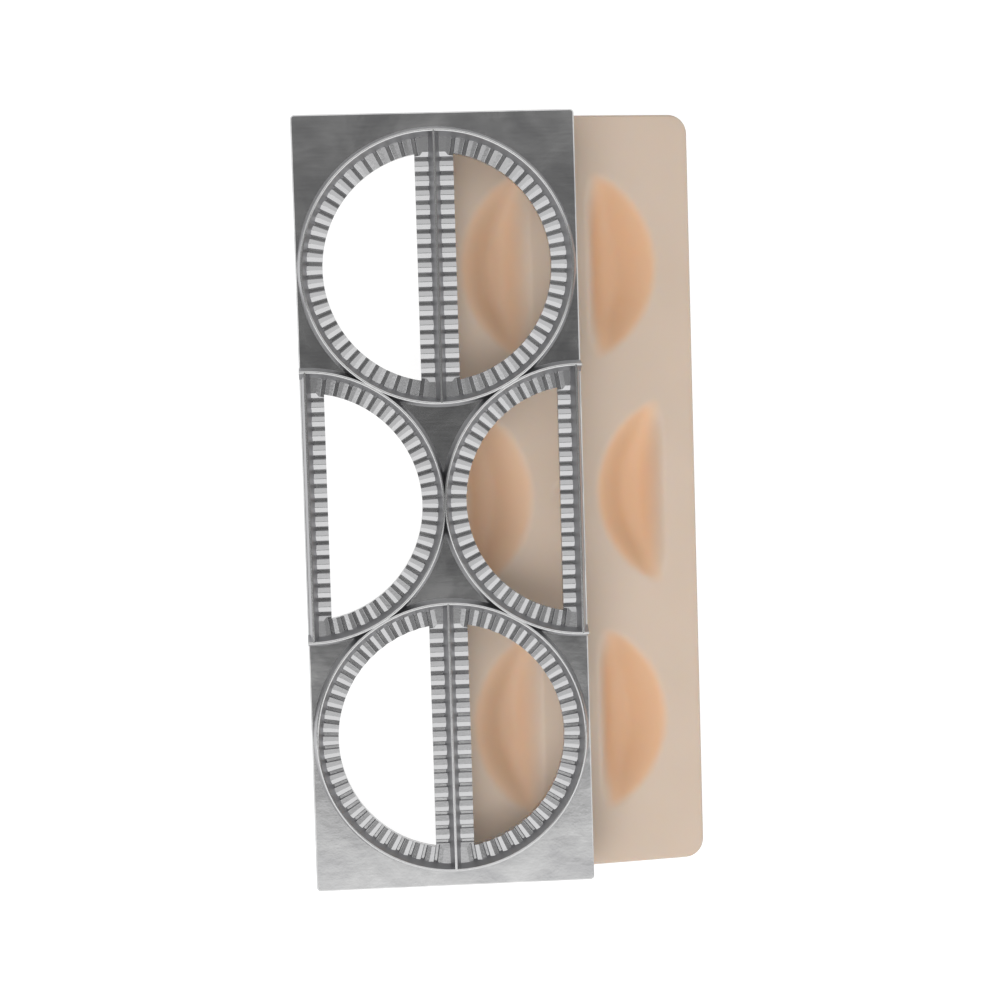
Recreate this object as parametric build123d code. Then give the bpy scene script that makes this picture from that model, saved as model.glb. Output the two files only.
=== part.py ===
from build123d import *
import math
import os

# Half-moon dumpling maker: a cast cutting plate on four rubber feet, lying over its press tray.
# Millimetres. X runs across both pieces, Y runs along them and Z is up from the table.
# The tray lies flat on the table. The plate has its left feet on the table and its right
# feet on the tray, so that it leans to the left.

# Pattern that the plate and the tray share
cell_radius = 52.4           # half the distance between the centres of neighbouring circles
edge_margin = 1.9            # from the outermost circle to the long edge
end_margin = 6.8             # from the outermost circle to the short edge
row_pitch = math.sqrt(3) * cell_radius
half_width = cell_radius + edge_margin
half_length = row_pitch + cell_radius + end_margin

# Cutting plate, heights counted from the top of its web
web_thickness = 2.0
skirt_depth = 9.0
skirt_thickness = 2.4
plate_corner_radius = 1.5
plate_edge_bevel = 0.5
ridge_height = 5.2
ridge_crest_width = 0.9
ridge_crest_flat = 0.15      # flat strip along the top of a crest
ridge_crest_bevel = 0.12     # how far a crest's edges are broken, in height
ridge_inner_run = 2.3        # plan width of the flank that faces an opening
ridge_outer_run = 1.2        # plan width of the flank that faces a flat
crest_inset = 0.35           # how far a crest stays inside its cell's circle
collar_depth = 2.3           # how far the rim of an opening reaches below the web's top
arc_band = 8.5               # from the cell's circle to the opening, on the round side
bar_band = 7.4               # from the cell's centre to the opening, on the straight side

# Crimping teeth
tooth_height = 1.6
tooth_fall = 0.4             # how much a tooth's roof falls from its middle to its shoulders
tooth_shoulder = 0.4         # width and height of a tooth's round shoulder
tooth_crest_flat = 0.2       # flat strip along the middle of a tooth's roof
groove_floor = 0.2
groove_width_bottom = 0.9
groove_width_top = 1.2       # between the walls, below the shoulders
bar_tooth_pitch = 5.5
teeth_per_circle = 60
last_groove_angle = 82.0

# Legs and feet
stand_height = 22.0          # web's top above the feet's soles
leg_inset = 8.3              # leg's axis from the long edge
leg_end_inset = 7.0          # leg's axis from the short edge
leg_radius_top = 6.6
leg_radius_bottom = 5.8
stub_radius = 4.4
foot_radius = 6.4
foot_height = 9.0
foot_sole = 2.2
foot_round = 0.8
foot_grip = 0.1              # how much smaller a foot's socket is than its stub, in radius

# Press tray, heights counted down from its face
tray_height = 14.0
face_thickness = 2.0
tray_corner_radius = 7.5
tray_edge_round = 1.2
rim_depth = 5.0
rim_thickness = 2.0
pocket_wall = 1.7
pocket_arc_gap = 3.1         # pocket's mouth inside the plate's opening, round side
pocket_bar_gap = 4.3         # the same at the straight side
pocket_corner_radius = 5.7
pocket_corner_limit = 0.46   # largest share of a section's width that its corners may take
middle_shift = 0.8           # how far the middle pockets lie outside the plate's middle openings
gate_radius = 5.5
gate_depth = 0.7

# Sections of a pocket's bowl, as shares: of its depth, how far the straight side and the round
# side have come in, what is left of its length, and what is left of its corners
bowl_sections = (
    (0.0, 0.0, 0.0, 1.0, 1.0),
    (0.55, 0.16, 0.25, 0.78, 0.85),
    (1.0, 0.28, 0.50, 0.46, 0.60),
)

# How the two pieces lie
tray_shift = 48.85           # from the plate's middle, at its soles, to the tray's middle
seat_gap = 0.2               # under the feet that stand on the tray

# Allowances for joining and cutting
overlap = 0.5                # how far a form that is joined on reaches into its neighbour
clear = 1.0                  # how far a cut reaches past the surface that it opens


def half_moon(radius, flat):
    """Half disc of the given radius, cut off at x = flat, its round side towards +X."""
    disc = Circle(radius)
    keep = Rectangle(radius, 2 * (radius + clear), align=(Align.MIN, Align.CENTER))
    return disc & Pos(flat, 0) * keep


def prism(sketch, low, high):
    """The sketch as a solid from height low to height high."""
    return Pos(0, 0, low) * extrude(sketch, amount=high - low)


def cell_places():
    """Where the six cells lie, as centre and turn; at turn 0 the round side faces +X."""
    places = []
    for row in (-1, 1):
        for turn in (0, 180):
            places.append(Pos(0, row * row_pitch, 0) * Rot(0, 0, turn))
    places.append(Pos(-cell_radius, 0, 0))
    places.append(Pos(cell_radius, 0, 0) * Rot(0, 0, 180))
    return places


def groove(start, end, pitch):
    """A gap along X from start to end, with half of a tooth's roof on each side."""
    ridge = ((pitch - tooth_crest_flat) / 2, tooth_height)
    eave = (groove_width_top / 2 + tooth_shoulder, tooth_height - tooth_fall)
    wall_top = (groove_width_top / 2, tooth_height - tooth_fall - tooth_shoulder)
    above = tooth_height + clear
    wall = Polyline((0, groove_floor), (groove_width_bottom / 2, groove_floor), wall_top)
    shoulder = TangentArc(eave, wall_top, tangent=(eave[0] - ridge[0], eave[1] - ridge[1]))
    roof = Polyline(eave, ridge, (ridge[0], above), (0, above))
    half = make_face(wall + shoulder + roof + Line((0, above), (0, groove_floor)))
    section = Plane.YZ * (half + mirror(half, Plane.YZ))
    return Pos(start, 0, 0) * extrude(section, amount=end - start)


def groove_spots(pitch, limit):
    """Groove centres at odd half pitches on both sides of zero, out to the limit."""
    count = int(limit / pitch + 0.5)
    return [side * (k + 0.5) * pitch for k in range(count) for side in (-1, 1)]


def crimp_band():
    """The toothed rim round one opening, from its lower lip to the tops of its teeth."""
    teeth_start = (ridge_crest_width + ridge_inner_run) / 2
    outer_radius = cell_radius - crest_inset - teeth_start
    opening_radius = cell_radius - arc_band
    band = prism(half_moon(outer_radius, teeth_start), -collar_depth, tooth_height)
    hole = prism(half_moon(opening_radius, bar_band), -collar_depth - clear, tooth_height + clear)
    angle = 360 / teeth_per_circle
    pitch = math.radians(angle) * outer_radius
    round_groove = groove(opening_radius - clear, outer_radius + clear, pitch)
    cuts = [Rot(0, 0, a) * round_groove for a in groove_spots(angle, last_groove_angle)]
    bar_groove = groove(teeth_start - clear, bar_band + clear, bar_tooth_pitch)
    reach = math.sqrt(opening_radius**2 - bar_band**2)
    cuts += [Pos(0, y, 0) * bar_groove for y in groove_spots(bar_tooth_pitch, reach)]
    return band - hole - cuts


def cone_disc(profile):
    """A round solid about Z whose edge follows the profile, given as (radius, height) points."""
    outline = [(0, profile[0][1])] + profile + [(0, profile[-1][1])]
    return revolve(Plane.XZ * make_face(Polyline(*outline, close=True)), axis=Axis.Z)


def flank(run, root):
    """One side of a ridge, from below its foot to its top, as (distance, height) points."""
    crest = ridge_crest_width / 2
    return [
        (crest + run, root),
        (crest + run, 0),
        (crest, ridge_height - ridge_crest_bevel),
        (ridge_crest_flat / 2, ridge_height),
    ]


def round_ridges():
    """Cutting ridges along the full circles: mounds with a cup taken out of each."""
    line = cell_radius - crest_inset
    root = -web_thickness / 2
    mound = cone_disc([(line + x, z) for x, z in flank(ridge_outer_run, root)])
    inside = [(line - x, z) for x, z in flank(ridge_inner_run, root - clear)]
    cup = cone_disc(inside + [(line, ridge_height + clear)])
    centres = [Pos(0, row_pitch), Pos(0, -row_pitch), Pos(-cell_radius, 0), Pos(cell_radius, 0)]
    mounds = Part() + [place * mound for place in centres]
    return mounds - [place * cup for place in centres]


def straight_ridge(far_run):
    """Cutting ridge along a cell's straight side: inner flank towards +X, far_run towards -X."""
    root = -web_thickness / 2
    outline = [(-x, z) for x, z in flank(far_run, root)]
    outline += reversed(flank(ridge_inner_run, root))
    section = Plane.XZ * make_face(Polyline(*outline, close=True))
    return extrude(section, amount=cell_radius - crest_inset, both=True)


def ridges():
    """All cutting ridges, trimmed at the plate's edges."""
    bar = straight_ridge(ridge_inner_run)
    side = Pos(crest_inset - cell_radius, 0) * straight_ridge(ridge_outer_run)
    net = round_ridges() + [Pos(0, row_pitch) * bar, Pos(0, -row_pitch) * bar]
    net += [side, Rot(0, 0, 180) * side]
    return net & Box(2 * half_width, 2 * half_length, 4 * ridge_height)


def plate_shell():
    """The web with its skirt and its six holes."""
    outline = RectangleRounded(2 * half_width, 2 * half_length, plate_corner_radius)
    shell = prism(outline, -skirt_depth, 0)
    shell = chamfer(shell.faces().sort_by(Axis.Z)[-1].edges(), plate_edge_bevel)
    hollow = Rectangle(2 * (half_width - skirt_thickness), 2 * (half_length - skirt_thickness))
    shell -= prism(hollow, -skirt_depth - clear, -web_thickness)
    hole = prism(half_moon(cell_radius - arc_band, bar_band), -web_thickness - clear, clear)
    return shell - [place * hole for place in cell_places()]


def leg():
    """One cast leg with the stub that its rubber foot is pushed on."""
    top = -web_thickness + overlap
    shoulder = foot_height - stand_height
    cone = Pos(0, 0, shoulder) * Cone(
        leg_radius_bottom, leg_radius_top, top - shoulder,
        align=(Align.CENTER, Align.CENTER, Align.MIN),
    )
    stub_length = foot_height - foot_sole
    stub = Pos(0, 0, shoulder - stub_length) * Cylinder(
        stub_radius, stub_length + overlap, align=(Align.CENTER, Align.CENTER, Align.MIN)
    )
    return cone + stub


def leg_places():
    """The four legs by name, as places in the plate's own plane."""
    x = half_width - leg_inset
    y = half_length - leg_end_inset
    sides = (("left", -x), ("right", x))
    ends = (("front", -y), ("rear", y))
    return {f"{end}_{side}": Pos(px, py, 0) for end, py in ends for side, px in sides}


def cutting_plate():
    """The whole casting in its own frame, with the web's top at z = 0."""
    bands = [place * crimp_band() for place in cell_places()]
    legs = [place * leg() for place in leg_places().values()]
    return plate_shell() + bands + ridges() + legs


def rubber_foot():
    """A push-on foot in the plate's frame, its sole at the stand's height."""
    foot = Cylinder(foot_radius, foot_height, align=(Align.CENTER, Align.CENTER, Align.MIN))
    foot = fillet(foot.edges().sort_by(Axis.Z)[0], foot_round)
    foot = fillet(foot.edges().sort_by(Axis.Z)[-1], foot_round / 2)
    socket = Pos(0, 0, foot_sole) * Cylinder(
        stub_radius - foot_grip, foot_height, align=(Align.CENTER, Align.CENTER, Align.MIN)
    )
    return Pos(0, 0, -stand_height) * (foot - socket)


def pocket_section(flat, reach, half_height, corner, grow=0.0):
    """D-shaped section: straight side at x = flat, rounded corners, grown all round by grow."""
    outline = ThreePointArc((flat, half_height), (reach, 0), (flat, -half_height))
    shape = make_face(outline + Line((flat, -half_height), (flat, half_height)))
    shape = fillet(shape.vertices(), min(corner, pocket_corner_limit * (reach - flat)))
    if grow:
        shape = offset(shape, grow, kind=Kind.ARC)
    return shape


def pocket_form(depth, grow=0.0, rise=0.0):
    """A pocket's bowl: its mouth at z = 0, steep at the straight side and gentle at the round."""
    mouth_radius = cell_radius - arc_band - pocket_arc_gap
    mouth_flat = bar_band + pocket_bar_gap
    mouth_half = math.sqrt(mouth_radius**2 - mouth_flat**2)
    width = mouth_radius - mouth_flat
    sections = []
    for share, flat_in, round_in, height_share, corner_share in bowl_sections:
        shape = pocket_section(
            mouth_flat + flat_in * width,
            mouth_radius - round_in * width,
            mouth_half * height_share,
            pocket_corner_radius * corner_share,
            grow,
        )
        sections.append(Pos(0, 0, -depth * share) * shape)
    bowl = loft(sections)
    if rise:
        top = pocket_section(mouth_flat, mouth_radius, mouth_half, pocket_corner_radius, grow)
        bowl += prism(top, 0, rise)
    return bowl


def tray_cells():
    """Where the tray's six pockets lie; the middle ones stand a little further out."""
    places = cell_places()[:4]
    places.append(Pos(-cell_radius - middle_shift, 0, 0))
    places.append(Pos(cell_radius + middle_shift, 0, 0) * Rot(0, 0, 180))
    return places


def press_tray():
    """The moulded tray in its own frame, with its face at z = 0 and its bumps below."""
    outline = RectangleRounded(2 * half_width, 2 * half_length, tray_corner_radius)
    tray = prism(outline, -rim_depth, 0)
    tray = fillet(tray.faces().sort_by(Axis.Z)[-1].edges(), tray_edge_round)
    inner = RectangleRounded(
        2 * (half_width - rim_thickness), 2 * (half_length - rim_thickness),
        tray_corner_radius - rim_thickness,
    )
    tray -= prism(inner, -rim_depth - clear, -face_thickness)
    bump = pocket_form(tray_height, pocket_wall)
    tray += [place * bump for place in tray_cells()]
    bowl = pocket_form(tray_height - pocket_wall, rise=clear)
    tray -= [place * bowl for place in tray_cells()]
    gate = Pos(0, 0, -gate_depth) * Cylinder(
        gate_radius, gate_depth + clear, align=(Align.CENTER, Align.CENTER, Align.MIN)
    )
    return tray - gate


# The plate's lean: its right soles are raised by the tray, its left soles aren't
sole_edge = foot_radius - foot_round
leg_span = 2 * (half_width - leg_inset)
lean = math.asin((tray_height + seat_gap) / leg_span)
sole_drop = sole_edge * math.sin(lean) - foot_round * (1 - math.cos(lean))
plate_rise = leg_span / 2 * math.sin(lean) + sole_drop
plate_turn = Pos(0, 0, plate_rise) * Rot(0, -math.degrees(lean), 0) * Pos(0, 0, stand_height)

plate = plate_turn * cutting_plate()
feet = {name: plate_turn * place * rubber_foot() for name, place in leg_places().items()}

# The tray lies under the plate's right half
tray = Pos(tray_shift, 0, tray_height) * press_tray()

# The origin is the middle of the footprint, on the table
solids = {"cutting_plate": plate, "press_tray": tray}
solids.update({f"foot_{name}": foot for name, foot in feet.items()})
low = min(solid.bounding_box().min.X for solid in solids.values())
high = max(solid.bounding_box().max.X for solid in solids.values())
centring = Pos(-(low + high) / 2, 0, 0)

os.makedirs("parts", exist_ok=True)
for name, solid in solids.items():
    export_step(centring * solid, f"parts/{name}.step")
print("lean in degrees", round(math.degrees(lean), 3), "plate rise", round(plate_rise, 3))
print("shift to the footprint's middle", round(-(low + high) / 2, 3))
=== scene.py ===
# %% [markdown]
# # A half-moon dumpling maker in aluminium and plastic
# The object is two pieces that are laid on each other for the picture. The upper one is an
# aluminium casting on four rubber feet. It has six half-moon openings, each with a ring of
# crimping teeth and a cutting ridge round it. The lower one is a beige plastic tray with six
# half-moon pockets that press the dough. The casting and the feet come as finished solids, and
# get their finishes here. The tray is made again as a thin smooth surface.

import math

import bpy
import numpy as np
from mathutils import Matrix, Vector


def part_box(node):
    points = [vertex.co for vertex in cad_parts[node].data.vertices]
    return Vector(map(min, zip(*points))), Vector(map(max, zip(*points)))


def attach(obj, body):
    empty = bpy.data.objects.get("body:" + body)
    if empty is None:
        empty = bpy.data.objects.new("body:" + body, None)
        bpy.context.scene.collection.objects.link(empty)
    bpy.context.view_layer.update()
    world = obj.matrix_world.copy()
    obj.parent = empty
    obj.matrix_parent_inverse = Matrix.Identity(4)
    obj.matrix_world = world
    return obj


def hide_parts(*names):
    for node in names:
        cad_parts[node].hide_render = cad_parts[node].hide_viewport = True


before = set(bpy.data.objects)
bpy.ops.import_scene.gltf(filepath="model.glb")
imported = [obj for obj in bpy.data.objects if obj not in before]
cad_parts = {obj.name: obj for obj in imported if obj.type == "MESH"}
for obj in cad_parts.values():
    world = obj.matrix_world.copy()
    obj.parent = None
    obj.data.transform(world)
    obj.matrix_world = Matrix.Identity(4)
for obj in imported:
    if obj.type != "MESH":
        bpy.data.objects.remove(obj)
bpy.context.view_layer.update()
mm = 0.001

# %% [markdown]
# ## The camera
# A picture is matched from the camera outwards, so the camera comes first. It looks down on
# the table from the left of the plate, from nearly a metre away with a short telephoto lens.
# A camera can be turned by angles, but a place, a point to look at and a small roll are easier
# to read and to change.

# %% Camera
camera_place = Vector((-0.1994, 0.0580, 0.8948))
camera_aim = Vector((0.0027, -0.0018, 0.0))
camera_roll = math.radians(1.70)
lens_mm = 82.3
sensor_mm = 36.0

forward = (camera_aim - camera_place).normalized()
level_up = (Vector((0, 1, 0)) - forward * forward.y).normalized()
level_right = forward.cross(level_up)
up = level_up * math.cos(camera_roll) + level_right * math.sin(camera_roll)
right = forward.cross(up)
camera_data = bpy.data.cameras.new("camera")
camera_data.lens = lens_mm
camera_data.sensor_width = sensor_mm
camera = bpy.data.objects.new("camera", camera_data)
turn = Matrix((right, up, -forward)).transposed().to_4x4()
camera.matrix_world = Matrix.Translation(camera_place) @ turn
bpy.context.scene.collection.objects.link(camera)
bpy.context.scene.camera = camera
print("camera distance", round((camera_aim - camera_place).length, 3))

# %% [markdown]
# ## Small helpers
# Colours are picked on a screen as sRGB hex values, and the shader wants linear light, so one
# function turns one into the other. A material is a graph of nodes. Each node could be placed
# by hand in the editor, but one function that adds a node with its settings and the links into
# it keeps a whole material on one page.

# %% Colour and node helpers


def linear(hex_colour):
    """sRGB hex to linear RGBA: below 0.04045 divide by 12.92, above it the 2.4 power curve."""
    digits = hex_colour.lstrip("#")
    values = [int(digits[i : i + 2], 16) / 255 for i in (0, 2, 4)]
    bent = [v / 12.92 if v <= 0.04045 else ((v + 0.055) / 1.055) ** 2.4 for v in values]
    return (*bent, 1.0)


def add(tree, kind, settings=None, **inputs):
    """Adds a node. Settings are its properties, inputs its sockets, as values or as links.

    An input is named as on the node, with _ for a space, or by its number, as _0.
    """
    node = tree.nodes.new(kind)
    for name, value in (settings or {}).items():
        setattr(node, name, value)
    for name, value in inputs.items():
        key = int(name[1:]) if name[1:].isdigit() else name.replace("_", " ")
        socket = node.inputs[key]
        if isinstance(value, bpy.types.NodeSocket):
            tree.links.new(value, socket)
        else:
            socket.default_value = value
    return node


def new_material(name):
    """An empty node material and its tree, ready for a shader."""
    material = bpy.data.materials.new(name)
    material.use_nodes = True
    material.node_tree.nodes.clear()
    return material, material.node_tree


print("middle grey is", round(linear("#808080")[0], 3), "in linear light")

# %% [markdown]
# ## Cast aluminium
# The plate is a die casting that was tumbled and not painted: bare satin aluminium. The eye
# sees a metal that mirrors the room softly. The tumbling reaches the open places best, so the
# web is smooth and the crests of the ridges are bright, while the teeth are satin and the steep
# flanks between them stay rough. The flanks, with the walls of the gaps between the teeth, also
# get a darker shade than the web. That is painted shade for these recesses. Each of these could
# be a material of its own on picked faces. But each lies at its own height above the web, so
# one height, measured square to the leaning plate, tells them apart, and no face has to be picked.

# %% Bands of height on the plate
lean = math.radians(8.879)
web_height = 33.356 * mm
tooth_height = 1.6 * mm
crest_height = 5.2 * mm

# Each band is its low end, its high end and how far it fades out beyond them.
skirt_band = (-60 * mm, -1.0 * mm, 0.3 * mm)
tooth_band = (1.05 * mm, tooth_height + 0.1 * mm, 0.1 * mm)
flank_band = (0.15 * mm, crest_height - 0.15 * mm, 0.1 * mm)
crest_band = (crest_height - 0.06 * mm, crest_height + 1.0 * mm, 0.04 * mm)

# A face is steep where its normal's upward part is under the first number, flat over the second.
steep_up, flat_up = 0.6, 0.75


def height_band(tree, height, low, high, fade):
    """A mask that is 1 between the heights low and high, and falls to 0 over fade outside."""
    rise = add(
        tree, "ShaderNodeMapRange", Value=height,
        From_Min=low - fade, From_Max=low, To_Min=0.0, To_Max=1.0,
    )
    fall = add(
        tree, "ShaderNodeMapRange", Value=height,
        From_Min=high, From_Max=high + fade, To_Min=1.0, To_Max=0.0,
    )
    return add(
        tree, "ShaderNodeMath", {"operation": "MULTIPLY"}, _0=rise.outputs[0], _1=fall.outputs[0]
    ).outputs[0]


def plate_masks(tree, coordinates):
    """Masks of the skirt, the flanks, the tops of the teeth and the crests.

    The height is the point turned back by the plate's lean, less the height of the web. The
    teeth's tops and the flanks share their heights, and the normal's upward part divides them.
    """
    level = add(
        tree, "ShaderNodeMapping", Vector=coordinates.outputs["Object"],
        Rotation=(0, lean, 0), Location=(0, 0, -web_height),
    )
    height = add(tree, "ShaderNodeSeparateXYZ", Vector=level.outputs[0]).outputs["Z"]
    skirt, tops, sides, crests = (
        height_band(tree, height, *band)
        for band in (skirt_band, tooth_band, flank_band, crest_band)
    )
    normal = add(tree, "ShaderNodeSeparateXYZ", Vector=coordinates.outputs["Normal"])
    flat = add(
        tree, "ShaderNodeMapRange", Value=normal.outputs["Z"], From_Min=steep_up, From_Max=flat_up
    ).outputs[0]
    steep = add(tree, "ShaderNodeMath", {"operation": "SUBTRACT"}, _0=1.0, _1=flat).outputs[0]
    teeth = add(tree, "ShaderNodeMath", {"operation": "MULTIPLY"}, _0=tops, _1=flat).outputs[0]
    flanks = add(tree, "ShaderNodeMath", {"operation": "MULTIPLY"}, _0=sides, _1=steep).outputs[0]
    return skirt, flanks, teeth, crests


print("plate leans", round(math.degrees(lean), 2), "degrees")
print("web at", round(web_height / mm, 2), "mm, crests", round(crest_height / mm, 2), "mm above it")

# %% Marks of casting and tumbling
flow_length = 22 * mm
streak_length = 14 * mm
streak_width = 0.8 * mm
streak_share = 0.15
cloud_low, cloud_high = 0.36, 0.64
ripple_length = 7 * mm
ripple_depth = 0.04 * mm
grain_size = 0.9 * mm
grain_depth = 0.06 * mm
web_grain, tooth_grain = 0.15, 0.5


def plate_clouds(tree, place):
    """0 to 1 in soft clouds where the metal flowed, with a share of fine streaks along x."""
    flow = add(
        tree, "ShaderNodeTexNoise", Vector=place, Scale=1 / flow_length, Detail=5.0, Distortion=0.8
    )
    along = add(
        tree, "ShaderNodeMapping", Vector=place,
        Scale=(1 / streak_length, 1 / streak_width, 1 / streak_length),
    )
    streak = add(tree, "ShaderNodeTexNoise", Vector=along.outputs[0], Scale=1.0, Detail=2.0)
    both = add(
        tree, "ShaderNodeMix", {"data_type": "FLOAT"},
        _0=streak_share, _2=flow.outputs["Fac"], _3=streak.outputs["Fac"],
    )
    return add(
        tree, "ShaderNodeMapRange", Value=both.outputs[0], From_Min=cloud_low, From_Max=cloud_high
    ).outputs[0]


def plate_skin(tree, place, teeth):
    """The normal of slow ripples with a fine grain on them, which is deeper on the teeth."""
    ripple = add(tree, "ShaderNodeTexNoise", Vector=place, Scale=1 / ripple_length, Detail=2.0)
    waves = add(
        tree, "ShaderNodeBump", Height=ripple.outputs["Fac"], Strength=1.0, Distance=ripple_depth
    )
    grain = add(tree, "ShaderNodeTexNoise", Vector=place, Scale=1 / grain_size, Detail=3.0)
    share = add(tree, "ShaderNodeMapRange", Value=teeth, To_Min=web_grain, To_Max=tooth_grain)
    pits = add(
        tree, "ShaderNodeMath", {"operation": "MULTIPLY"},
        _0=grain.outputs["Fac"], _1=share.outputs[0],
    )
    return add(
        tree, "ShaderNodeBump", Height=pits.outputs[0], Strength=1.0, Distance=grain_depth,
        Normal=waves.outputs["Normal"],
    ).outputs["Normal"]


print("clouds of", round(flow_length / mm), "mm, grain of", round(grain_size / mm, 1), "mm")

# %% Cast aluminium
# Each finish is a shade and a roughness. The web has a range of both, from cloud to cloud.
web_shades = ("#bababb", "#d8d8d8")
web_roughness = (0.13, 0.19)
skirt_finish = ("#b8b8b9", 0.38)
# The flanks' darker shade is painted shade in the recesses between the teeth and the ridges. Their
# higher roughness is their real dull skin.
flank_dull_and_painted_shade = ("#b0b0b2", 0.42)
tooth_finish = ("#cacacb", 0.26)
crest_finish = ("#d8d8d8", 0.22)


def cast_aluminium():
    """Metal with a satin skin: the web's clouds, and over them each mask's own finish, with painted
    shade on the flanks.
    """
    material, tree = new_material("cast_aluminium")
    coordinates = add(tree, "ShaderNodeTexCoord")
    place = coordinates.outputs["Object"]
    skirt, flanks, teeth, crests = plate_masks(tree, coordinates)
    cloud = plate_clouds(tree, place)
    tint = add(
        tree, "ShaderNodeMix", {"data_type": "RGBA"},
        Factor=cloud, _6=linear(web_shades[0]), _7=linear(web_shades[1]),
    )
    rough = add(
        tree, "ShaderNodeMapRange", Value=cloud, To_Min=web_roughness[0], To_Max=web_roughness[1]
    )
    masks = (skirt, flanks, teeth, crests)
    finishes = (skirt_finish, flank_dull_and_painted_shade, tooth_finish, crest_finish)
    for mask, (shade, roughness) in zip(masks, finishes):
        tint = add(
            tree, "ShaderNodeMix", {"data_type": "RGBA"},
            Factor=mask, _6=tint.outputs[2], _7=linear(shade),
        )
        rough = add(
            tree, "ShaderNodeMix", {"data_type": "FLOAT"},
            Factor=mask, _2=rough.outputs[0], _3=roughness,
        )
    shader = add(
        tree, "ShaderNodeBsdfPrincipled", Base_Color=tint.outputs[2],
        Metallic=1.0, Roughness=rough.outputs[0], Normal=plate_skin(tree, place, teeth),
    )
    add(tree, "ShaderNodeOutputMaterial", Surface=shader.outputs[0])
    return material


aluminium = cast_aluminium()
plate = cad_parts["cutting_plate"]
plate.data.materials.clear()
plate.data.materials.append(aluminium)
print("plate triangles", len(plate.data.polygons))

# %% [markdown]
# ## Rubber feet
# Four black rubber caps are pushed on to the plate's legs. Moulded rubber is nearly matte: it
# takes light softly and has no clear mirror image. A flat black would do from afar, but a fine
# dusty grain in the colour and in the bump keeps it from looking like a hole in the picture.

# %% Rubber
rubber_shades = ("#1b1b1c", "#2b2a2a")
rubber_grain = 0.6 * mm
rubber_grain_depth = 0.05 * mm


def foot_rubber():
    """Dark rubber with a dusty, fine-grained surface."""
    material, tree = new_material("foot_rubber")
    place = add(tree, "ShaderNodeTexCoord").outputs["Object"]
    grain = add(tree, "ShaderNodeTexNoise", Vector=place, Scale=1 / rubber_grain, Detail=4.0)
    tint = add(
        tree, "ShaderNodeMix", {"data_type": "RGBA"}, Factor=grain.outputs["Fac"],
        _6=linear(rubber_shades[0]), _7=linear(rubber_shades[1]),
    )
    bump = add(
        tree, "ShaderNodeBump", Height=grain.outputs["Fac"],
        Strength=0.3, Distance=rubber_grain_depth,
    )
    shader = add(
        tree, "ShaderNodeBsdfPrincipled", Base_Color=tint.outputs[2],
        Roughness=0.72, IOR=1.52, Normal=bump.outputs["Normal"],
    )
    add(tree, "ShaderNodeOutputMaterial", Surface=shader.outputs[0])
    return material


rubber = foot_rubber()
feet = [node for name, node in sorted(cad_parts.items()) if name.startswith("foot_")]
for foot in feet:
    foot.data.materials.clear()
    foot.data.materials.append(rubber)
print("feet", len(feet))

# %% [markdown]
# ## The press tray's shape
# The tray is moulded in one sheet about two millimetres thick. Each pocket is a half-moon bowl:
# steep at its straight side, gentle at its round side, soft at its lip. It could be sculpted, or
# cut out of a slab, but a height map says it best: one formula gives the height of the face at
# every point, and a grid of points follows it.

# %% Tray sizes
tray_low, tray_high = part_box("press_tray")
half_width = (tray_high.x - tray_low.x) / 2
half_length = (tray_high.y - tray_low.y) / 2
face_height = tray_high.z
tray_x = (tray_high.x + tray_low.x) / 2
corner_radius = 7.5 * mm
edge_round = 1.2 * mm
face_thickness = 2.0 * mm
pocket_wall = 1.7 * mm
print("tray half sizes in mm", round(half_width / mm, 2), round(half_length / mm, 2))

# %% Pocket sizes
cell_radius = 52.4 * mm
row_pitch = math.sqrt(3) * cell_radius
middle_shift = 0.8 * mm
pocket_flat = 11.0 * mm
pocket_reach = 41.4 * mm
steep_run = 9.6 * mm
gentle_run = 16.5 * mm
pocket_depth = face_height - pocket_wall
corner_soft = 0.9
gate_radius = 5.5 * mm
gate_depth = 0.7 * mm
gate_edge = 1.0 * mm

# A pocket is the middle of its circle and the side, along x, that it lies on.
pockets = [(0, row * row_pitch, side) for row in (-1, 1) for side in (-1, 1)]
pockets += [(side * (cell_radius + middle_shift), 0, -side) for side in (-1, 1)]
print("pockets", len(pockets), "depth in mm", round(pocket_depth / mm, 2))

# %% Pocket height map


def smooth_min(a, b, soft):
    """The smaller of two arrays, with a parabola of the given width where they cross."""
    mix = np.clip(0.5 + 0.5 * (b - a) / soft, 0, 1)
    return b * (1 - mix) + a * mix - soft * mix * (1 - mix)


def ease(t):
    """Smooth step: 0 below t = 0, 1 above t = 1, and 3t^2 - 2t^3 between."""
    t = np.clip(t, 0, 1)
    return t * t * (3 - 2 * t)


def pocket_share(p, q):
    """Depth share at p across the cell, from its straight side, and q along it.

    Two ramps lead inwards, a steep one from the straight lip and a gentle one from the round
    lip. The smaller of them, eased, is the share.
    """
    steep = (p - pocket_flat) / steep_run
    gentle = (pocket_reach - np.hypot(p, q)) / gentle_run
    return ease(smooth_min(steep, gentle, corner_soft))


def pocket_depths(x, y):
    """How far the face lies below its flat at x, y, both from the tray's middle.

    It is the deepest of the six pockets there, and the shallow round gate mark is added.
    """
    depth = np.zeros_like(x)
    for cx, cy, side in pockets:
        depth = np.maximum(depth, pocket_depth * pocket_share(side * (x - cx), y - cy))
    gate = np.clip((gate_radius - np.hypot(x, y)) / gate_edge + 0.5, 0, 1)
    return depth + gate_depth * ease(gate)


probe = np.linspace(0, cell_radius, 200)
deepest = pocket_depths(probe, np.full_like(probe, row_pitch)).max()
print("deepest point in mm", round(float(deepest) / mm, 2))

# %% [markdown]
# ## From formula to mesh
# A plain grid would leave saw teeth at the tray's round corners. They could be hidden with many
# more points. It is cheaper to let the rows follow the corner: each row is as wide as the
# rounded outline is at that row, and the rows near the ends stand at even angles of the
# corner's arc. Face, rim and underside are one closed skin.

# %% Tray grid
columns = 112
straight_rows = 290
corner_rows = 9
slope_step = 0.1 * mm


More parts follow.
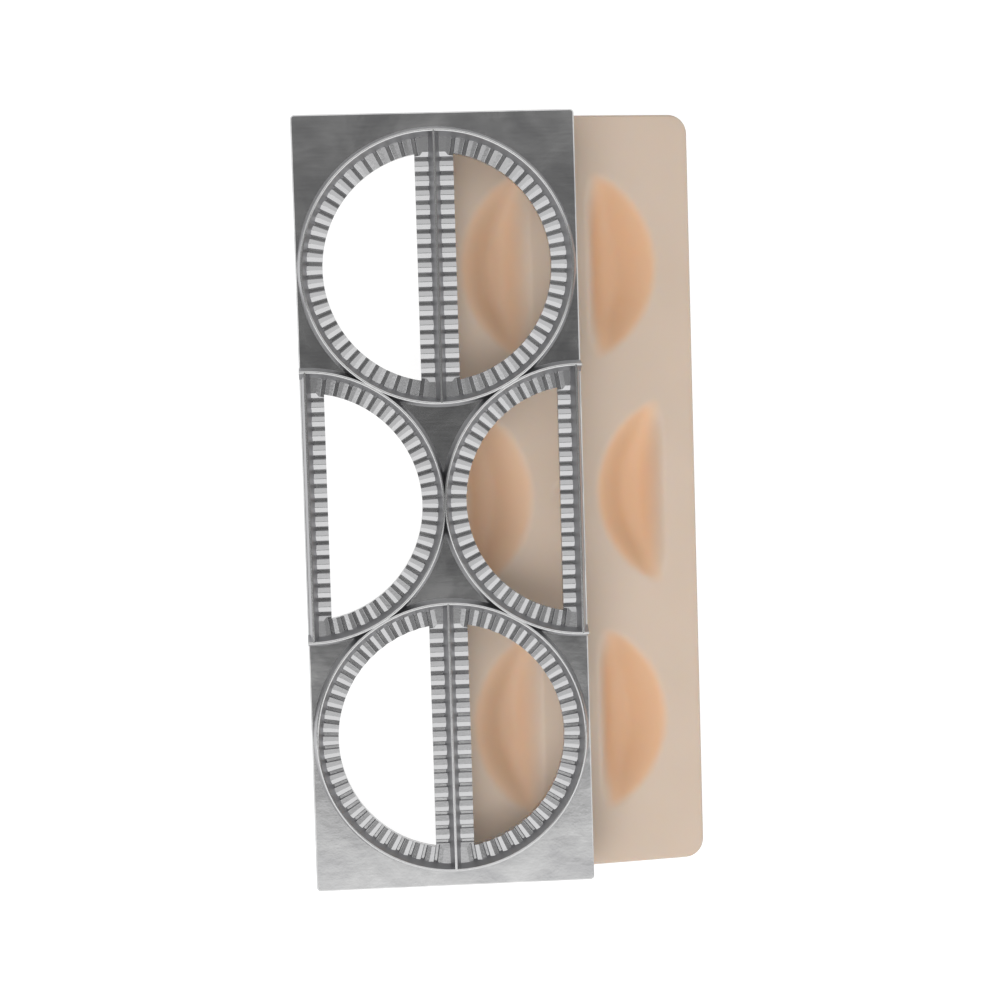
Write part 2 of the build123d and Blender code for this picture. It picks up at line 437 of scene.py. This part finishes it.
def outline_grid(inset):
    """Grid that fills the outline drawn in by inset: x = u * width of row, y = row stations."""
    r = corner_radius - inset
    angle = np.linspace(0, math.pi / 2, corner_rows + 1)[1:]
    flat_end = half_length - inset - r
    middle = np.linspace(-flat_end, flat_end, straight_rows + 1)
    end = flat_end + r * np.sin(angle)
    rows = np.concatenate([-end[::-1], middle, end])
    widths = np.full(len(rows), half_width - inset)
    arc = half_width - inset - r + r * np.cos(angle)
    widths[:corner_rows] = arc[::-1]
    widths[-corner_rows:] = arc
    u = np.linspace(-1, 1, columns + 1)
    return widths[:, None] * u[None, :], np.repeat(rows[:, None], columns + 1, axis=1)


def face_normals(x, y):
    """Upward unit normals of the height map, from its slopes over a short step each way."""
    step = slope_step
    slope_x = (pocket_depths(x + step, y) - pocket_depths(x - step, y)) / (2 * step)
    slope_y = (pocket_depths(x, y + step) - pocket_depths(x, y - step)) / (2 * step)
    normal = np.stack([slope_x, slope_y, np.ones_like(x)], axis=-1)
    return normal / np.linalg.norm(normal, axis=-1, keepdims=True)


def ring_of(grid_index):
    """The grid's border as one loop of indices, anticlockwise from above."""
    return np.concatenate(
        [grid_index[0, :-1], grid_index[:-1, -1], grid_index[-1, :0:-1], grid_index[:0:-1, 0]]
    )


def quads(grid_index):
    """Faces between neighbouring rows and columns of a grid of indices."""
    a, b = grid_index[:-1, :-1], grid_index[:-1, 1:]
    c, d = grid_index[1:, 1:], grid_index[1:, :-1]
    return np.stack([a, b, c, d], axis=-1).reshape(-1, 4)


print("tray grid", columns + 1, "by", straight_rows + 1 + 2 * corner_rows, "points")

# %% Rim and underside
rim_depth = 5.0 * mm
rim_thickness = 2.0 * mm
rim_nose = 0.5 * mm
nose_cut = 0.3 * rim_nose
wall_share = 0.6
root_round = 0.6 * mm
root_cut = 0.2 * mm
edge_angles = (22.5, 45, 67.5, 90)


def rim_profile():
    """The rim's section as pairs of inset and drop, from the face's edge to the underside.

    A quarter circle, the outer wall, a small round nose and the inner wall with its root.
    """
    edge = [
        (edge_round * (1 - math.sin(a)), edge_round * (1 - math.cos(a)))
        for a in map(math.radians, edge_angles)
    ]
    outer = [(0, rim_depth * wall_share), (0, rim_depth - rim_nose)]
    outer += [(nose_cut, rim_depth - nose_cut)]
    foot = [(rim_nose, rim_depth), (rim_thickness - rim_nose, rim_depth)]
    inner = [
        (rim_thickness - nose_cut, rim_depth - nose_cut),
        (rim_thickness, rim_depth - rim_nose),
        (rim_thickness, face_thickness + root_round),
        (rim_thickness + root_cut, face_thickness + root_cut),
    ]
    return edge + outer + foot + inner


def outward(edge):
    """The outline's outward unit direction at points of its edge: square to it, or radial."""
    core = [half_width - corner_radius, half_length - corner_radius]
    away = np.sign(edge) * np.maximum(np.abs(edge) - core, 0)
    return away / np.linalg.norm(away, axis=1, keepdims=True)


def underside():
    """The face moved in along its normals by the wall, and nowhere lower than the table.

    The wall goes from the flat's thickness to the pockets' thickness with the depth share.
    """
    x, y = outline_grid(rim_thickness + root_round)
    depth = pocket_depths(x, y)
    share = np.clip(depth / pocket_depth, 0, 1)
    thickness = face_thickness + (pocket_wall - face_thickness) * share
    under = np.stack([x, y, -depth], axis=-1) - thickness[..., None] * face_normals(x, y)
    under[..., 2] = np.maximum(under[..., 2], -face_height)
    return under


print("rim section points", len(rim_profile()))

# %% Tray mesh


def tray_mesh():
    """Face, rim and underside of the tray as points and faces.

    The rim is its section carried round the face's edge: each ring is the edge moved outwards
    by the section's inset and down by its drop. Neighbouring rings are joined by four-sided
    faces, the first to the face's border and the last to the underside's.
    """
    x, y = outline_grid(edge_round)
    top = np.stack([x, y, -pocket_depths(x, y)], axis=-1)
    under = underside()
    count = x.size
    index = np.arange(count).reshape(x.shape)
    loop = ring_of(index)
    edge = top.reshape(-1, 3)[loop, :2]
    away = outward(edge)
    rings = [
        np.column_stack([edge + away * (edge_round - inset), np.full(len(loop), -drop)])
        for inset, drop in rim_profile()
    ]

    ring_index = [loop] + [count + k * len(loop) + np.arange(len(loop)) for k in range(len(rings))]
    under_index = count + len(rings) * len(loop) + index
    ring_index.append(ring_of(under_index))
    faces = [quads(index), quads(under_index)[:, ::-1]]
    for upper, lower in zip(ring_index[:-1], ring_index[1:]):
        faces.append(np.stack([upper, lower, np.roll(lower, -1), np.roll(upper, -1)], axis=-1))
    points = np.concatenate([top.reshape(-1, 3)] + rings + [under.reshape(-1, 3)])
    return points + [tray_x, 0, face_height], np.concatenate(faces)


def make_object(name, points, faces):
    """A smooth mesh object from an array of points and an array of four-sided faces."""
    mesh = bpy.data.meshes.new(name)
    mesh.from_pydata(points.tolist(), [], faces.tolist())
    mesh.validate()
    mesh.polygons.foreach_set("use_smooth", np.ones(len(mesh.polygons), bool))
    mesh.update()
    piece = bpy.data.objects.new(name, mesh)
    bpy.context.scene.collection.objects.link(piece)
    return piece


tray_points, tray_faces = tray_mesh()
tray = make_object("tray_skin", tray_points, tray_faces)
print("tray points", len(tray_points), "faces", len(tray_faces))

# %% [markdown]
# ## Where the pockets are warm
# The pockets look warmer than the flat, because light goes round in a thin bowl and takes up
# the plastic's colour. The warm tone starts a little inside the straight lip and close to the
# round lip, and it is weaker on the side that the plate shades. It could be painted by hand.
# Worked out from the same ramps as the bowls, it stays on them when their sizes change. A
# number on each point of the mesh, an attribute, carries it to the material.

# %% Warmth of each point
lip_pale = 1.2 * mm
straight_fade = 6.5 * mm
round_fade = 4.0 * mm
left_share = 0.68


def pocket_warmth(x, y):
    """0 on the flat and 1 in a bowl: the smaller of two ramps inwards from its lips, eased."""
    warmth = np.zeros_like(x)
    for cx, cy, side in pockets:
        p, q = side * (x - cx), y - cy
        straight = (p - pocket_flat - lip_pale) / straight_fade
        rounded = (pocket_reach - np.hypot(p, q)) / round_fade
        warmth = np.maximum(warmth, ease(smooth_min(straight, rounded, corner_soft)))
    return warmth * np.where(x < 0, left_share, 1.0)


warmth = pocket_warmth(tray_points[:, 0] - tray_x, tray_points[:, 1])
tray.data.attributes.new("warmth", "FLOAT", "POINT").data.foreach_set("value", warmth)
print("warm share of the points", round(float((warmth > 0.5).mean()), 3))

# %% [markdown]
# ## Moulded plastic
# The tray is a beige polypropylene, moulded with a satin face. The eye sees a soft, slightly
# waxy sheet, because light goes a little way into it. A plain diffuse colour looks like card
# here. Subsurface scattering lets the light in, and it reaches further in red than in blue.

# %% Moulded plastic
plastic_shades = ("#c6b4a2", "#d0beae")
warm_shade = "#dcb593"
plastic_cloud = 40 * mm
plastic_grain = 0.7 * mm
plastic_grain_depth = 0.03 * mm
light_reach = 2.5 * mm
reach_by_colour = (1.0, 0.55, 0.3)


def moulded_plastic():
    """Beige plastic that lets light in a little way, with a satin skin."""
    material, tree = new_material("moulded_plastic")
    place = add(tree, "ShaderNodeTexCoord").outputs["Object"]
    cloud = add(tree, "ShaderNodeTexNoise", Vector=place, Scale=1 / plastic_cloud, Detail=2.0)
    grain = add(tree, "ShaderNodeTexNoise", Vector=place, Scale=1 / plastic_grain, Detail=2.0)
    face = add(
        tree, "ShaderNodeMix", {"data_type": "RGBA"}, Factor=cloud.outputs["Fac"],
        _6=linear(plastic_shades[0]), _7=linear(plastic_shades[1]),
    )
    warm = add(tree, "ShaderNodeAttribute", {"attribute_name": "warmth"})
    tint = add(
        tree, "ShaderNodeMix", {"data_type": "RGBA"},
        Factor=warm.outputs["Fac"], _6=face.outputs[2], _7=linear(warm_shade),
    )
    bump = add(
        tree, "ShaderNodeBump", Height=grain.outputs["Fac"],
        Strength=0.15, Distance=plastic_grain_depth,
    )
    shader = add(
        tree, "ShaderNodeBsdfPrincipled", Base_Color=tint.outputs[2], Roughness=0.42, IOR=1.49,
        Subsurface_Weight=0.5, Subsurface_Scale=light_reach, Subsurface_Radius=reach_by_colour,
        Normal=bump.outputs["Normal"],
    )
    add(tree, "ShaderNodeOutputMaterial", Surface=shader.outputs[0])
    return material


tray.data.materials.append(moulded_plastic())
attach(tray, "tray")
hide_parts("press_tray")
print("tray rides on", "tray", "and stands for", "press_tray")

# %% [markdown]
# ## Floor
# The object lies on a plain white surface. A white floor under strong light would do, but it
# would light the object from below and wash out its shadow. So the floor is grey to the light,
# which keeps a soft shadow, and has its own glow for what the camera, a mirror or glass sees.

# %% White floor
floor_size = 6.0
floor_drop = 0.2 * mm
floor_shade = "#8c8c8c"
floor_glow = 0.9


def white_floor():
    """Diffuse floor with its own glow for camera, mirror and glass rays."""
    material, tree = new_material("white_floor")
    path = add(tree, "ShaderNodeLightPath")
    seen = path.outputs["Is Camera Ray"]
    for ray in ("Is Glossy Ray", "Is Transmission Ray"):
        seen = add(
            tree, "ShaderNodeMath", {"operation": "MAXIMUM"}, _0=seen, _1=path.outputs[ray]
        ).outputs[0]
    glow = add(tree, "ShaderNodeMath", {"operation": "MULTIPLY"}, _0=seen, _1=floor_glow)
    shine = add(tree, "ShaderNodeEmission", Color=(1, 1, 1, 1), Strength=glow.outputs[0])
    matte = add(tree, "ShaderNodeBsdfDiffuse", Color=linear(floor_shade))
    both = add(tree, "ShaderNodeAddShader", _0=shine.outputs[0], _1=matte.outputs[0])
    add(tree, "ShaderNodeOutputMaterial", Surface=both.outputs[0])
    return material


half = floor_size / 2
corners = [(-half, -half, 0), (half, -half, 0), (half, half, 0), (-half, half, 0)]
floor_mesh = bpy.data.meshes.new("floor")
floor_mesh.from_pydata(corners, [], [(0, 1, 2, 3)])
floor = bpy.data.objects.new("floor", floor_mesh)
bpy.context.scene.collection.objects.link(floor)
floor.location.z = -floor_drop
floor.data.materials.append(white_floor())
print("floor side", floor_size, "m")

# %% [markdown]
# ## Studio light
# The metal shows whatever is above it: a dark strip overhead between two wide bright panels, in
# front and behind. That is why the plate is dark where it mirrors the strip and bright at its
# near end, and why each tooth has a bright shoulder. The panels could be lamps with visible
# faces. But such large soft lights are a studio's world, so the world's shader makes them from
# the direction alone, and two small lamps that the metal doesn't mirror give the shadow.

# %% World
# Degrees from straight up, front negative and back positive, and the light from there.
overhead_light = (
    (-90, 0.45), (-62, 0.45), (-48, 1.15), (-12.5, 1.2), (-10.5, 0.30), (-7.5, 0.16), (-1, 0.14),
    (5.5, 0.25), (10.5, 0.28), (15.5, 0.9), (38, 0.9), (50, 0.45), (90, 0.45),
)
room_left = 0.3
room_right = 0.95
room_half_span = 0.5
room_from, room_full = 0.45, 0.1


def studio_world():
    """Light by direction, from the angle between straight up and the back (+) or the front (-).

    The angle is the arcsine of y / sqrt(y^2 + z^2), in degrees, and a ramp gives its light. Near
    the horizon, as z falls from room_from to room_full, the light goes over to the room around,
    from room_left to room_right along x.
    """
    world = bpy.data.worlds.new("studio")
    world.use_nodes = True
    tree = world.node_tree
    tree.nodes.clear()
    ray = add(tree, "ShaderNodeTexCoord").outputs["Generated"]
    part = add(tree, "ShaderNodeSeparateXYZ", Vector=ray)
    flat = add(tree, "ShaderNodeCombineXYZ", Y=part.outputs["Y"], Z=part.outputs["Z"])
    unit = add(tree, "ShaderNodeVectorMath", {"operation": "NORMALIZE"}, _0=flat.outputs[0])
    sine = add(tree, "ShaderNodeSeparateXYZ", Vector=unit.outputs[0]).outputs["Y"]
    angle = add(tree, "ShaderNodeMath", {"operation": "ARCSINE"}, _0=sine)
    share = add(
        tree, "ShaderNodeMapRange", Value=angle.outputs[0],
        From_Min=-math.pi / 2, From_Max=math.pi / 2, To_Min=0.0, To_Max=1.0,
    )
    overhead = add(tree, "ShaderNodeValToRGB", Fac=share.outputs[0])
    stops = overhead.color_ramp.elements
    while len(stops) < len(overhead_light):
        stops.new(1.0)
    for stop, (degrees, level) in zip(stops, overhead_light):
        stop.position = degrees / 180 + 0.5
        stop.color = (level, level, level, 1)
    low = add(
        tree, "ShaderNodeMapRange", {"interpolation_type": "SMOOTHSTEP"}, Value=part.outputs["Z"],
        From_Min=room_from, From_Max=room_full, To_Min=0.0, To_Max=1.0,
    )
    room = add(
        tree, "ShaderNodeMapRange", Value=part.outputs["X"],
        From_Min=-room_half_span, From_Max=room_half_span, To_Min=room_left, To_Max=room_right,
    )
    both = add(
        tree, "ShaderNodeMix", {"data_type": "FLOAT"},
        _0=low.outputs[0], _2=overhead.outputs[0], _3=room.outputs[0],
    )
    glow = add(tree, "ShaderNodeBackground", Color=(1, 1, 1, 1), Strength=both.outputs[0])
    add(tree, "ShaderNodeOutputWorld", Surface=glow.outputs[0])
    return world


bpy.context.scene.world = studio_world()
bpy.context.scene.view_settings.view_transform = "Standard"
print("world stops", len(overhead_light), "room", room_left, room_right)

# %% Lamps


def panel(name, place, aim, side, power):
    """A square lamp at a place, turned to a point, that metal doesn't mirror."""
    data = bpy.data.lights.new(name, "AREA")
    data.shape = "SQUARE"
    data.size, data.energy = side, power
    lamp = bpy.data.objects.new(name, data)
    lamp.location = place
    lamp.rotation_euler = (Vector(aim) - Vector(place)).to_track_quat("-Z", "Y").to_euler()
    lamp.visible_glossy = False
    bpy.context.scene.collection.objects.link(lamp)
    return lamp


lamps = [
    panel("front_lamp", place=(-0.25, -0.24, 0.54), aim=(0.02, -0.02, 0), side=0.5, power=2.05),
    panel("back_lamp", place=(-0.16, 0.36, 0.50), aim=(0.03, 0.03, 0), side=0.4, power=0.3),
]
print("lamps", [(lamp.name, round(lamp.data.energy, 2)) for lamp in lamps])
